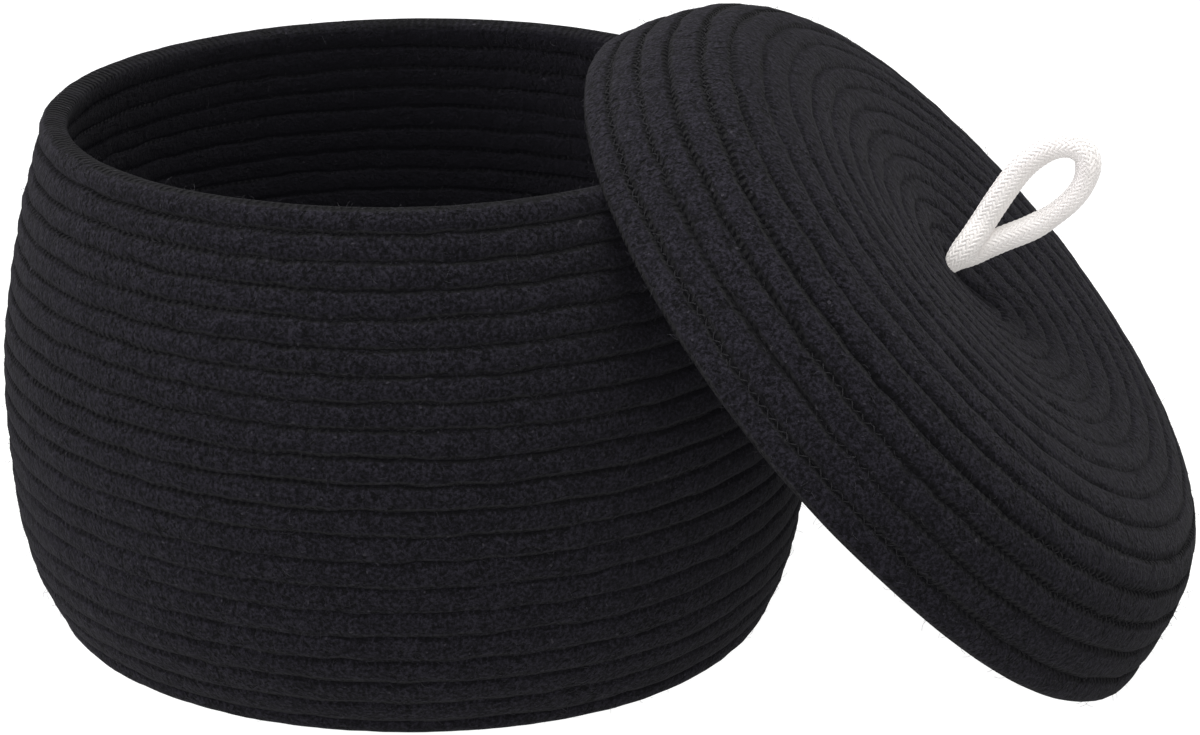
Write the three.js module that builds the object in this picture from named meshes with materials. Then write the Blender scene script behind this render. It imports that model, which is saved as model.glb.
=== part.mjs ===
import * as THREE from 'three';

// A basket coiled from cotton rope, with its coiled lid leaning on the rim. Millimetres, +Z up.
// The origin is the centre of the basket's underside, and the lid leans towards +X.

// Rope of the basket and the lid: a six-sided section with a corner towards each neighbouring turn
const ropeThickness = 9.4;
const ropeSides = 6;
const profileSamples = 160;
const turnGap = 0.6;
const seatGap = 0.3;

// Each course lies level and steps up to the next in this share of a turn
const stepShare = 0.25;
const thinnestEnd = 0.25;

// Basket: radii of the middle of its wall at heights above the floor
const basketHeight = 195;
const rimRadius = 130.5;
const shoulderRadius = 142;
const shoulderHeight = 149;
const bellyRadius = 148;
const bellyHeight = 104;
const hipRadius = 147;
const hipHeight = 60;
const heelRadius = 139.5;
const heelHeight = 29;
const footRadius = 130.5;
const wallCourses = 21;
const wallSteps = 21;
const baseThickness = 10.4;

// Lid: radii of the middle of its wall at heights above the skirt's edge
const lidRadius = 148.5;
const skirtRadius = 143.5;
const skirtHeight = 17;
const eavesRadius = 134;
const eavesHeight = 36.5;
const brimRadius = 118.5;
const brimHeight = 49.5;
const crownRadius = 88;
const crownHeight = 55.5;
const innerCrownRadius = 44;
const innerCrownHeight = 53;
const dimpleHeight = 48;
const lidCourses = 16;
const lidSteps = 18;
const levelCourses = 5;

// Slit at the lid's centre, in line with the lean
const slitLength = 28;
const slitWidth = 10;
const slitEndSharpness = 4;

// The lid leans on the rim at this angle, with its edge on the floor
const leanAngle = THREE.MathUtils.degToRad(47.5);
const rimClearance = 0.8;

// Handle: a loop of thinner rope that stands out of the slit and bends at its foot
const handleDiameter = 9;
const handleSides = 10;
const handleSteps = 40;
const handleAlongSlit = -4.5;
const legGap = 0.4;
const pivotAboveCrown = 3;
const loopHeight = 60;
const loopLean = -4.4;
const loopWidth = 21.5;
const tailLength = 30;
const tailBend = 6;
const tailSteps = 12;
const footRounding = [0.45, 0.8, 0.97];

const blackRope = { color: 0x1e1e21, roughness: 0.95, metalness: 0 };
const whiteRope = { color: 0xe9e3dc, roughness: 0.9, metalness: 0 };

// Half of the rope's widest reach across the wall, at the corners of its flat sides
const ropeReach = ropeThickness / 2 / Math.sin(Math.PI / 3);

const model = new THREE.Group();

function addMesh(parent, name, geometry, finish) {
  const mesh = new THREE.Mesh(geometry, new THREE.MeshStandardMaterial(finish));
  mesh.name = name;
  parent.add(mesh);
}

// A closed tube through stations, each with a centre and two section axes that hold the section's radii
function tubeThrough(stations, sides) {
  const positions = [];
  const faces = [];
  for (const { center, across, out } of stations) {
    for (let i = 0; i < sides; i++) {
      const angle = (2 * Math.PI * i) / sides;
      const point = center.clone();
      point.addScaledVector(across, Math.cos(angle));
      point.addScaledVector(out, Math.sin(angle));
      positions.push(point.x, point.y, point.z);
    }
  }
  const last = stations.length - 1;
  for (let j = 0; j < last; j++) {
    for (let i = 0; i < sides; i++) {
      const a = j * sides + i;
      const b = j * sides + ((i + 1) % sides);
      const c = a + sides;
      const d = b + sides;
      faces.push(a, b, c, b, d, c);
    }
  }
  for (let i = 1; i < sides - 1; i++) {
    faces.push(0, i + 1, i);
    faces.push(last * sides, last * sides + i, last * sides + i + 1);
  }
  const geometry = new THREE.BufferGeometry();
  geometry.setAttribute('position', new THREE.Float32BufferAttribute(positions, 3));
  geometry.setIndex(faces);
  geometry.computeVertexNormals();
  return geometry;
}

// A profile of radius and height, read by its length, with even samples for measuring from
function profileThrough(points) {
  const curve = new THREE.SplineCurve(points.map(([radius, height]) => new THREE.Vector2(radius, height)));
  curve.arcLengthDivisions = 2000;
  const length = curve.getLength();
  function at(distance) {
    const share = THREE.MathUtils.clamp(distance / length, 0, 1);
    const place = curve.getPointAt(share);
    const tangent = curve.getTangentAt(share);
    return { radius: place.x, height: place.y, tangent };
  }
  return { length, at, samples: curve.getSpacedPoints(profileSamples) };
}

// A point of a turned surface and its outward normal, where the profile runs upwards or inwards
function turnedPoint({ radius, height, tangent }, azimuth) {
  const outward = new THREE.Vector3(Math.cos(azimuth), Math.sin(azimuth), 0);
  const point = outward.clone().multiplyScalar(radius).setZ(height);
  const normal = outward.clone().multiplyScalar(tangent.y).setZ(-tangent.x);
  return { point, normal };
}

// Courses climbed after a number of turns, when each turn ends in a step of one course
function steppedClimb(turns) {
  const whole = Math.floor(turns);
  const share = (turns - whole - (1 - stepShare)) / stepShare;
  return whole + THREE.MathUtils.smoothstep(share, 0, 1);
}

// Stations of a rope wound over a surface: each turn fills the band between its climb and the next turn's
function windRope({ courses, steps, stepAzimuth, climb, surface }) {
  const stations = [];
  const first = -Math.ceil(steps * stepShare);
  for (let j = first; j <= steps * courses; j++) {
    const turns = j / steps;
    const start = THREE.MathUtils.clamp(climb(turns), 0, courses);
    const end = THREE.MathUtils.clamp(climb(turns + 1), 0, courses);
    const share = Math.min(1, end - start);
    if (share < thinnestEnd) continue;
    const azimuth = 2 * Math.PI * (turns + stepShare / 2) + stepAzimuth;
    const lower = surface(start, azimuth);
    const upper = surface(end, azimuth);
    const across = upper.point.clone().sub(lower.point);
    const center = lower.point.clone().addScaledVector(across, 0.5);
    const width = across.length() - turnGap;
    across.normalize();
    const out = lower.normal.clone().add(upper.normal);
    out.addScaledVector(across, -out.dot(across)).normalize();
    across.multiplyScalar(width / 2);
    out.multiplyScalar(share * ropeReach);
    stations.push({ center, across, out });
  }
  return stations;
}

// Least distance from any corner of a turn to the facing edges of the next turn
function leastTurnGap(stations, steps) {
  const upperEdge = stations.map(({ center, across }) => center.clone().add(across));
  const lowerEdge = stations.map(({ center, across }) => center.clone().sub(across));
  const nearest = new THREE.Vector3();
  let least = Infinity;
  for (let j = 0; j + steps < stations.length; j++) {
    for (let k = j + steps - 2; k <= j + steps + 1; k++) {
      if (k + 1 >= stations.length) continue;
      new THREE.Line3(lowerEdge[k], lowerEdge[k + 1]).closestPointToPoint(upperEdge[j], true, nearest);
      least = Math.min(least, nearest.distanceTo(upperEdge[j]));
    }
  }
  return least;
}

function addCoil(parent, name, winding) {
  const stations = windRope(winding);
  const geometry = tubeThrough(stations, ropeSides);
  addMesh(parent, name, geometry, blackRope);
  console.log(`${name}: least gap between turns ${leastTurnGap(stations, winding.steps).toFixed(2)} mm`);
  return geometry;
}

// Wall: one rope wound from the foot to the rim, with its steps and ends behind the leaning lid
const wallProfile = profileThrough([
  [footRadius, 0],
  [heelRadius, heelHeight],
  [hipRadius, hipHeight],
  [bellyRadius, bellyHeight],
  [shoulderRadius, shoulderHeight],
  [rimRadius, basketHeight],
]);
const wallPitch = wallProfile.length / wallCourses;
const wallGeometry = addCoil(model, 'wall_coil', {
  courses: wallCourses,
  steps: wallSteps,
  stepAzimuth: 0,
  climb: steppedClimb,
  surface: (course, azimuth) => turnedPoint(wallProfile.at(course * wallPitch), azimuth),
});

// Base: the flat coil that the wall rises from, as a plain disc just inside the lowest course
const wallCorners = wallGeometry.getAttribute('position');
let baseRadius = Infinity;
for (let i = 0; i < wallCorners.count; i++) {
  if (wallCorners.getZ(i) > baseThickness + seatGap) continue;
  baseRadius = Math.min(baseRadius, Math.hypot(wallCorners.getX(i), wallCorners.getY(i)) - seatGap);
}
const baseGeometry = new THREE.CylinderGeometry(baseRadius, baseRadius, baseThickness, wallSteps);
baseGeometry.rotateX(Math.PI / 2);
baseGeometry.rotateZ(Math.PI * stepShare + Math.PI / 2);
baseGeometry.translate(0, 0, baseThickness / 2);
addMesh(model, 'base_coil', baseGeometry, blackRope);

// Lid: one rope wound from the skirt's edge to the centre slit, level at the skirt and spiral at the crown
const lidProfile = profileThrough([
  [lidRadius, 0],
  [skirtRadius, skirtHeight],
  [eavesRadius, eavesHeight],
  [brimRadius, brimHeight],
  [crownRadius, crownHeight],
  [innerCrownRadius, innerCrownHeight],
  [0, dimpleHeight],
]);
const lidPitch = (lidProfile.length - slitWidth / 2) / lidCourses;
const slitRun = slitLength - slitWidth;

function lidClimb(turns) {
  const spiral = turns - (1 - stepShare) / 2;
  const share = THREE.MathUtils.smoothstep(turns, levelCourses, lidCourses);
  return THREE.MathUtils.lerp(steppedClimb(turns), spiral, share);
}

// The turns lengthen along X towards the centre, to lie round the slit
function lidSurface(course, azimuth) {
  const spread = lidProfile.length - course * lidPitch;
  const run = slitRun * (course / lidCourses) ** 2;
  const side = Math.tanh(slitEndSharpness * Math.cos(azimuth)) / Math.tanh(slitEndSharpness);
  const flat = new THREE.Vector2(spread * Math.cos(azimuth) + (side * run) / 2, spread * Math.sin(azimuth));
  return turnedPoint(lidProfile.at(lidProfile.length - flat.length()), flat.angle());
}

const lid = new THREE.Group();
const lidGeometry = addCoil(lid, 'lid_coil', {
  courses: lidCourses,
  steps: lidSteps,
  stepAzimuth: Math.PI / 2,
  climb: lidClimb,
  surface: lidSurface,
});

// Handle: a loop with round feet on the axis that it bends about, over two legs in the slit
const handleRadius = handleDiameter / 2;
const footSpacing = handleDiameter + legGap;
const crownTop = lidProfile.at(lidProfile.length - slitWidth).height + ropeThickness / 2;
const pivotHeight = crownTop + pivotAboveCrown;

// Stations of a round rope along a route that lies in the XZ plane
function ropeAlong(route, steps) {
  const stations = [];
  for (let j = 0; j <= steps; j++) {
    const tangent = route.getTangentAt(j / steps);
    const across = new THREE.Vector3(0, handleRadius, 0);
    const out = tangent.clone().cross(across);
    stations.push({ center: route.getPointAt(j / steps), across, out });
  }
  return stations;
}

// Smaller and smaller stations that round off a rope's end, at shares of its radius past it
function roundedEnd({ center, across, out }, direction) {
  return footRounding.map((rise) => {
    const size = Math.sqrt(1 - rise * rise);
    return {
      center: center.clone().addScaledVector(direction, rise * handleRadius),
      across: across.clone().multiplyScalar(size),
      out: out.clone().multiplyScalar(size),
    };
  });
}

const loopRoute = new THREE.CatmullRomCurve3([
  new THREE.Vector3(-footSpacing / 2, 0, 0),
  new THREE.Vector3(-footSpacing / 2 - 0.4, 0, handleRadius),
  new THREE.Vector3(loopLean - loopWidth / 2 + 5, 0, loopHeight * 0.3),
  new THREE.Vector3(loopLean - loopWidth / 2 + 1, 0, loopHeight * 0.55),
  new THREE.Vector3(loopLean - loopWidth / 2, 0, loopHeight * 0.72),
  new THREE.Vector3(loopLean - loopWidth / 2 + 2, 0, loopHeight * 0.89),
  new THREE.Vector3(loopLean, 0, loopHeight),
  new THREE.Vector3(loopLean + loopWidth / 2 - 2, 0, loopHeight * 0.87),
  new THREE.Vector3(loopLean + loopWidth / 2, 0, loopHeight * 0.68),
  new THREE.Vector3(loopLean + loopWidth / 2 - 0.5, 0, loopHeight * 0.42),
  new THREE.Vector3(footSpacing / 2 + 0.4, 0, handleRadius),
  new THREE.Vector3(footSpacing / 2, 0, 0),
]);
const down = new THREE.Vector3(0, 0, -1);
const loopStations = ropeAlong(loopRoute, handleSteps);
const loopStart = roundedEnd(loopStations[0], down).reverse();
const loopEnd = roundedEnd(loopStations[handleSteps], down);
const handle = new THREE.Group();
handle.position.set(handleAlongSlit, 0, pivotHeight);
addMesh(handle, 'handle_loop', tubeThrough([...loopStart, ...loopStations, ...loopEnd], handleSides), whiteRope);
lid.add(handle);

// Legs: each passes down through the slit and turns outwards, to be sewn down under the crown
function tailRoute(side) {
  const start = handleAlongSlit + (side * footSpacing) / 2;
  const underCrown = (x) => {
    const { height } = lidProfile.at(lidProfile.length - Math.abs(x));
    return height - ropeThickness / 2 - seatGap - handleRadius;
  };
  const bendEnd = start + side * tailBend;
  const bendHeight = underCrown(bendEnd);
  const route = new THREE.CurvePath();
  const top = new THREE.Vector3(start, 0, pivotHeight - handleRadius - seatGap);
  const bendTop = new THREE.Vector3(start, 0, bendHeight + tailBend);
  const corner = new THREE.Vector3(start, 0, bendHeight);
  const bendFoot = new THREE.Vector3(bendEnd, 0, bendHeight);
  const tip = new THREE.Vector3(bendEnd + side * tailLength, 0, underCrown(bendEnd + side * tailLength));
  route.add(new THREE.LineCurve3(top, bendTop));
  route.add(new THREE.QuadraticBezierCurve3(bendTop, corner, bendFoot));
  route.add(new THREE.LineCurve3(bendFoot, tip));
  return route;
}
addMesh(lid, 'handle_end_upper', tubeThrough(ropeAlong(tailRoute(-1), tailSteps), handleSides), whiteRope);
addMesh(lid, 'handle_end_lower', tubeThrough(ropeAlong(tailRoute(1), tailSteps), handleSides), whiteRope);

// Seat of the lid: its edge just above the floor, moved towards the basket until it meets the rim
const lidAxis = new THREE.Vector3(Math.sin(leanAngle), 0, Math.cos(leanAngle));
const lidDownSlope = new THREE.Vector3(Math.cos(leanAngle), 0, -Math.sin(leanAngle));
const lidCorners = lidGeometry.getAttribute('position');
let lowest = Infinity;
for (let i = 0; i < lidCorners.count; i++) {
  lowest = Math.min(lowest, lidCorners.getX(i) * lidDownSlope.z + lidCorners.getZ(i) * lidAxis.z);
}
const lidHeight = seatGap - lowest;

// Least gap between the rim and the lid, searched on one side of the plane of the lean
function rimGap(standOff) {
  const center = new THREE.Vector3(standOff, 0, lidHeight);
  const point = new THREE.Vector3();
  let least = Infinity;
  for (const { x: radius, y: height } of wallProfile.samples) {
    if (height < basketHeight / 2 || height > basketHeight - wallPitch / 2) continue;
    for (let azimuth = 0; azimuth < Math.PI / 2; azimuth += Math.PI / 90) {
      point.set(radius * Math.cos(azimuth), radius * Math.sin(azimuth), height).sub(center);
      const lidSpread = Math.hypot(point.dot(lidDownSlope), point.y);
      const lidRise = point.dot(lidAxis);
      for (const sample of lidProfile.samples) {
        if (sample.y < lidPitch / 2) continue;
        least = Math.min(least, Math.hypot(sample.x - lidSpread, sample.y - lidRise));
      }
    }
  }
  return least - 2 * ropeReach;
}
let lidStandOff = rimRadius + 2 * lidRadius;
for (const step of [5, 0.5, 0.05]) {
  while (rimGap(lidStandOff - step) > rimClearance) lidStandOff -= step;
}
console.log(`lid stands ${lidStandOff.toFixed(2)} mm from the basket's axis, ${lidHeight.toFixed(2)} mm up`);

lid.rotation.y = leanAngle;
lid.position.set(lidStandOff, 0, lidHeight);
model.add(lid);

export default model;
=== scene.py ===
import math

import bpy
import numpy as np
from mathutils import Matrix, Vector


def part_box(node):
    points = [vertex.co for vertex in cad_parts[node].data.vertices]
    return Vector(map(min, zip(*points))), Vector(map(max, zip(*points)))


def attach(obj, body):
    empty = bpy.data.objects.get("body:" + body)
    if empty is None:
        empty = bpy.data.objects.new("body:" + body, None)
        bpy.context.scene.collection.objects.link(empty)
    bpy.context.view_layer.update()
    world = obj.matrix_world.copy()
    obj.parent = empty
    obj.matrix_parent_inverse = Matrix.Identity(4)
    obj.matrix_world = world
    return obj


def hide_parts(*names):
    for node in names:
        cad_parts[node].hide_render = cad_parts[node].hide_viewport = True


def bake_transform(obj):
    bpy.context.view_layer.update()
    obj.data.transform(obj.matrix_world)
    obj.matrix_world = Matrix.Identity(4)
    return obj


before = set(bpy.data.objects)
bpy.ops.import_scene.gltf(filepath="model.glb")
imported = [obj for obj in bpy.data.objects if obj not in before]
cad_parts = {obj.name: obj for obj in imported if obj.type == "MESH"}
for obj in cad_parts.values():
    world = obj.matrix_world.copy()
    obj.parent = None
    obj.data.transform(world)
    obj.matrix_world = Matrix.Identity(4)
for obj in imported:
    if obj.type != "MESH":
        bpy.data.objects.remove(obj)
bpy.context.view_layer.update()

MM = 0.001
UP = np.array([0.0, 0.0, 1.0])

# Rope of the basket and the lid: a flattened round, sewn side to side
ROPE_THICKNESS = 9.8 * MM

# A turn runs level and steps up to the next in a share of it. The ends taper to a share of the rope
STEP_SHARE = 0.25
THINNEST_END = 0.05

# Unevenness of the hand sewing: lengths of its waves, in turns of the winding
LONG_SWAY = 0.11
SHORT_SWAY = 0.043
TUFT_SWAY = 0.0085
WIDTH_SWAY = 0.013
PROUD_SWAY = 0.19
LONG_BREAK = 0.06
SHORT_BREAK = 0.011
THREAD_PATCH = 0.07

# The rope stands proud of the surface or sinks in it by up to this much
PROUD_BY = 0.22 * MM

# The sewing thread lies a little below the ropes' faces, and deeper where it doesn't show
WALL_STITCH = 3 * MM
LID_STITCH = 2.7 * MM
THREAD_DEPTH = 1.25 * MM
THREAD_HIDES = 1.8 * MM
THREAD_CROSSING = 0.5 * MM

# Middle of the basket's wall, from the floor to the rim: radius and height in millimetres
WALL_PROFILE = [(129, 0), (141.6, 27), (147, 60), (148, 104), (141.8, 149), (130.8, 193.8)]
WALL_COURSES = 21
WALL_STEPS = 280

# The lid's weight presses the soft rim in where its edge rests
PRESS_DEPTH = 4.5 * MM
PRESS_AZIMUTH = math.radians(41)
PRESS_SPREAD = math.radians(22)
PRESS_REACH = 60 * MM

# On the lid's side the rim rises a little and the foot stands out a little
RIM_TILT = 0.012
TILT_FROM = 100 * MM
TILT_FULL = 190 * MM
FOOT_PUSH = 2.5 * MM
FOOT_HEIGHT = 45 * MM

# The base is one more spiral of the same rope
BASE_COURSES = 12
BASE_STEPS = 130
BASE_HEIGHT = 5.2 * MM
BASE_HOLE = 0.2 * MM

# Middle of the lid's wall, from the skirt's edge to the centre: radius and height in millimetres
LID_PROFILE = [
    (148.5, 0),
    (143.5, 17),
    (134, 36.5),
    (118.5, 48.9),
    (88, 54.4),
    (44, 51.5),
    (16, 46.7),
    (0, 43.3),
]

# Its turns are level on the skirt, spiral over the crown and are drawn out towards a slit at the centre
LID_COURSES = 16
LID_STEPS = 260
LEVEL_COURSES = 5
SLIT_LENGTH = 26 * MM
SLIT_OFFSET = -4 * MM
SLIT_WIDTH = 1.4 * MM
SLIT_SHARPNESS = 4

# The soft lid settles a little deeper on the rim than its rigid stand-in
LID_LEAN = math.radians(46.3)
LID_CENTRE = np.array([174.9, 0.0, 108.2]) * MM

# The lid's skirt sags where it stands on the floor
LID_SAG = 3.0 * MM
LID_SAG_HEIGHT = 45 * MM

# The ropes' soft faces give where the floor carries them, and not past so many softnesses above it
FLOOR_SOFTNESS = 0.6 * MM
FLOOR_REACH = 8

# The lid's own directions: along its axis, down its slope and across it
LID_AXIS = np.array([math.sin(LID_LEAN), 0.0, math.cos(LID_LEAN)])
LID_SLOPE = np.array([math.cos(LID_LEAN), 0.0, -math.sin(LID_LEAN)])
LID_SIDE = np.cross(LID_AXIS, LID_SLOPE)
LID_TURN = np.array([LID_SLOPE, LID_SIDE, LID_AXIS])

# Handle, from one sewn end round the loop to the other: places down the slope, across it and up, in mm
HANDLE_FOOT = np.array([-5.0, -4.0, 50.5]) * MM
HANDLE_ROUTE = [
    (-43, -1.5, -9.5),
    (-28, -1.5, -12),
    (-12, -1.5, -15),
    (-5, -3.4, -12),
    (-4.2, -6.2, -2),
    (-6.1, -3.4, 9.3),
    (-8.1, 1.2, 17.8),
    (-10.5, 2.8, 25.8),
    (-13.5, 4, 37.2),
    (-14.7, 4, 46),
    (-13.5, 4, 55.3),
    (-9.4, 4, 61.4),
    (-3.6, 4, 63.1),
    (1.4, 4, 59.8),
    (5.2, 4, 52.6),
    (6.3, 4, 42.8),
    (4.9, 4.2, 30.7),
    (1.2, 3.6, 18.9),
    (-1.3, 2.8, 10),
    (-3, 0.8, 1),
    (0.5, 1.6, -12),
    (9, 1.5, -16.2),
    (25, 1.5, -13.4),
    (40, 1.5, -10.5),
]
HANDLE_RADIUS = 4.7 * MM
HANDLE_STRANDS = 16
STRAND_PITCH = 33 * MM
STRAND_HALF_WIDTH = 0.68 * MM
STRAND_HALF_THICKNESS = 0.36 * MM
STRAND_DEPTH = 0.35 * MM
WEAVE_DEPTH = 0.1 * MM
CORE_RADIUS = 4.5 * MM
HANDLE_STATIONS = 520

# The slit necks the handle, and its bend down the slope and its ends are a little thinner
NECK_SHARE = 0.58
NECK_HEIGHT = -3.5 * MM
NECK_SPREAD = 6.2 * MM
BEND_PINCH = 0.13
END_TAPER = 3 * MM

# Tack stitches, in places down the slope from the slit and up from it, in millimetres
TACK_PLACES = [(-36, -10.9), (-27, -12.2), (-18, -13.8), (17, -15), (26, -13.3), (35, -11.6)]
TACK_ASIDE = 1.5
TACK_POINTS = 16
TACK_RADIUS = 5.1 * MM
TACK_RISE = 4.5 * MM
TACK_OVERLAP = 0.15
TACK_SLANT = 0.16
TACK_HALF_WIDTH = 0.4 * MM
TACK_HALF_THICKNESS = 0.35 * MM

# Floor and room: a size in metres, and shares of full light
FLOOR_SIZE = 12.0
FLOOR_GREY = 0.15
FLOOR_GLOW = 0.6
ROOM_STRENGTH = 0.6
ROOM_DIMMING = 0.25

# The camera of the photo, found from the outlines of the basket and the lid
CAMERA_PLACE = np.array([353.2, -1321.5, 571.8]) * MM
CAMERA_AZIMUTH = math.radians(101.95)
CAMERA_PITCH = math.radians(19.37)
CAMERA_ROLL = math.radians(0.59)
SENSOR_WIDTH = 36.0
FOCAL_PIXELS = 3800
PICTURE_PIXELS = 1200


def lid_to_row(points):
    """Points on the lid, with its own axis along Z, carried to where it leans."""
    return LID_CENTRE + points @ LID_TURN


def lid_turn(directions):
    """Directions on the lid, turned to how it leans."""
    return directions @ LID_TURN


def smoothstep(x, low, high):
    """From 0 to 1, smoothly, as x goes from low to high."""
    share = np.clip((x - low) / (high - low), 0, 1)
    return share * share * (3 - 2 * share)


def facing_x(azimuth):
    """From 0 to 1, how far a place faces +X: the basket's side at the lid, the lid's side on the floor."""
    return smoothstep(np.cos(azimuth), 0.2, 1)


def unit(vectors):
    return vectors / np.linalg.norm(vectors, axis=-1, keepdims=True)


def smooth_line(points, samples=60):
    """A Catmull-Rom line through points, with its length so far at each sample."""
    points = np.array(points, dtype=float) * MM
    padded = np.vstack([points[:1], points, points[-1:]])
    share = np.linspace(0, 1, samples, endpoint=False)[:, None]
    line = []
    for p0, p1, p2, p3 in zip(padded, padded[1:], padded[2:], padded[3:]):
        v1, v2 = (p2 - p0) / 2, (p3 - p1) / 2
        cubic = (2 * p1 - 2 * p2 + v1 + v2) * share**3
        line.append(cubic + (3 * p2 - 3 * p1 - 2 * v1 - v2) * share**2 + v1 * share + p1)
    line = np.vstack(line + [points[-1:]])
    steps = np.linalg.norm(np.diff(line, axis=0), axis=1)
    return line, np.concatenate([[0], np.cumsum(steps)])


def read_line(line, reach, distance):
    """The line's values at distances along it."""
    return np.stack([np.interp(distance, reach, line[:, k]) for k in range(line.shape[1])], axis=-1)


class Profile:
    """A smooth line of radius and height, in metres, read by its length."""

    def __init__(self, points):
        self.line, self.reach = smooth_line(points)
        self.length = self.reach[-1]
        self.slope = np.gradient(self.line, self.reach, axis=0)

    def turned(self, distance, azimuth):
        """Points and outward normals of the surface that the profile turns out."""
        place = read_line(self.line, self.reach, distance)
        slope = read_line(self.slope, self.reach, distance)
        outward = np.stack([np.cos(azimuth), np.sin(azimuth), np.zeros_like(azimuth)], axis=-1)
        points = outward * place[:, :1] + UP * place[:, 1:]
        normals = outward * slope[:, 1:] - UP * slope[:, :1]
        return points, unit(normals)


def soft_noise(x, wavelength, seed):
    """A smooth random line between about -1 and 1, the same for the same seed."""
    count = 4096
    values = np.random.default_rng(seed).uniform(-1, 1, count)
    place = x / wavelength + 64
    cell = np.floor(place).astype(int)
    share = smoothstep(place - cell, 0, 1)
    return values[cell % count] * (1 - share) + values[(cell + 1) % count] * share


def stepped_climb(turns):
    """Courses climbed after a number of turns: level most of the way round, then a step up."""
    whole = np.floor(turns)
    return whole + smoothstep(turns - whole, 1 - STEP_SHARE, 1)


class Winding:
    """A rope wound over a surface, with its turns side to side. Past course tufted its edge is smoother."""

    def __init__(self, surface, climb, courses, steps, step_azimuth, sway, seed, tufted=30):
        self.surface = surface
        self.climb = climb
        self.courses = courses
        self.steps = steps
        self.step_azimuth = step_azimuth
        self.sway = sway
        self.seed = seed
        self.tufted = tufted

    def edge(self, turns):
        """Course at the near edge of the rope after a number of turns, a little uneven."""
        course = np.clip(self.climb(turns), 0, self.courses)
        uneven = soft_noise(turns, LONG_SWAY, self.seed) + 0.6 * soft_noise(turns, SHORT_SWAY, self.seed + 1)
        tufts = 1 - smoothstep(course, self.tufted, self.tufted + 5)
        uneven += 1.1 * soft_noise(turns, TUFT_SWAY, self.seed + 7) * tufts
        inside = smoothstep(course, 0, 1) * smoothstep(self.courses - course, 0, 1)
        return course + self.sway * uneven * inside

    def azimuth(self, turns):
        return 2 * math.pi * (turns + STEP_SHARE / 2) + self.step_azimuth

    def turns(self):
        first = math.ceil(-STEP_SHARE * self.steps)
        return np.arange(first, self.steps * self.courses + 1) / self.steps

    def stations(self):
        """The rope's middle, outward and sideways directions, half pitch, turns and share of full size."""
        turns = self.turns()
        start = np.clip(self.climb(turns), 0, self.courses)
        end = np.clip(self.climb(turns + 1), 0, self.courses)
        share = np.minimum(1, end - start)
        turns, share = turns[share > THINNEST_END], share[share > THINNEST_END]
        azimuth = self.azimuth(turns)
        lower, lower_normal = self.surface(self.edge(turns), azimuth)
        upper, upper_normal = self.surface(self.edge(turns + 1), azimuth)
        sideways = upper - lower
        half_pitch = np.linalg.norm(sideways, axis=1) / 2
        outward = lower_normal + upper_normal
        sideways = unit(sideways)
        outward -= sideways * np.sum(outward * sideways, axis=1, keepdims=True)
        outward = unit(outward)
        proud = PROUD_BY * soft_noise(turns, PROUD_SWAY, self.seed + 2)
        middle = (lower + upper) / 2 + outward * proud[:, None]
        return middle, outward, sideways, half_pitch, turns, share

    def seam(self, spacing):
        """Evenly spaced points on the seams between turns, their normals, sideways directions and turns."""
        turns = self.turns()
        turns = turns[self.climb(turns) > 0.5]
        azimuth = self.azimuth(turns)
        points, outward = self.surface(self.edge(turns), azimuth)
        beyond, _ = self.surface(self.edge(turns) + 0.1, azimuth)
        sideways = unit(beyond - points)
        steps = np.linalg.norm(np.diff(points, axis=0), axis=1)
        reach = np.concatenate([[0], np.cumsum(steps)])
        even = np.arange(0, reach[-1], spacing)
        points, outward, sideways = (read_line(v, reach, even) for v in (points, outward, sideways))
        return points, unit(outward), unit(sideways), np.interp(even, reach, turns)


# Node trees

class Tree:
    """A node tree being built: place() adds a node, sets it and wires its inputs."""

    def __init__(self, name, kind, inputs, outputs):
        self.tree = bpy.data.node_groups.new(name, kind)
        for direction, sockets in (("INPUT", inputs), ("OUTPUT", outputs)):
            for label, socket_kind, *default in sockets:
                socket = self.tree.interface.new_socket(label, in_out=direction, socket_type=socket_kind)
                if default:
                    socket.default_value = default[0]
        self.start = self.tree.nodes.new("NodeGroupInput").outputs
        self.end = self.tree.nodes.new("NodeGroupOutput").inputs

    def place(self, kind, settings=None, **inputs):
        return place(self.tree, kind, settings, **inputs)

    def finish(self, geometry):
        """Makes the geometry real, sets its material and gives it out."""
        real = self.place("GeometryNodeRealizeInstances", Geometry=geometry).outputs[0]
        material = self.start["Material"]
        done = self.place("GeometryNodeSetMaterial", Geometry=real, Material=material).outputs[0]
        wire(self.tree, self.end["Geometry"], done)
        return self.tree


def wire(tree, socket, value):
    """Links a socket to another node's output, or sets it to a plain value."""
    if isinstance(value, bpy.types.NodeSocket):
        tree.links.new(value, socket)
    else:
        socket.default_value = value


def place(tree, kind, settings=None, **inputs):
    """A new node. Keyword inputs name its sockets, with _ for a space, or _0, _1 for their order."""
    node = tree.nodes.new(kind)
    for setting, value in (settings or {}).items():
        setattr(node, setting, value)
    for name, value in inputs.items():
        if name[0] == "_" and name[1:].isdigit():
            socket = node.inputs[int(name[1:])]
        else:
            wanted = name.replace("_", " ")
            socket = next(s for s in node.inputs if s.name == wanted and s.enabled)
        wire(tree, socket, value)
    return node


def maths(tree, operation, *values):
    inputs = {f"_{k}": value for k, value in enumerate(values)}
    return place(tree, "ShaderNodeMath", {"operation": operation}, **inputs).outputs[0]


def add(tree, *values):
    total = values[0]
    for value in values[1:]:
        total = maths(tree, "ADD", total, value)
    return total


def times(tree, *values):
    total = values[0]
    for value in values[1:]:
        total = maths(tree, "MULTIPLY", total, value)
    return total


def scaled(tree, vector, factor):
    node = tree.nodes.new("ShaderNodeVectorMath")
    node.operation = "SCALE"
    wire(tree, node.inputs[0], vector)
    wire(tree, node.inputs["Scale"], factor)
    return node.outputs[0]


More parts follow.
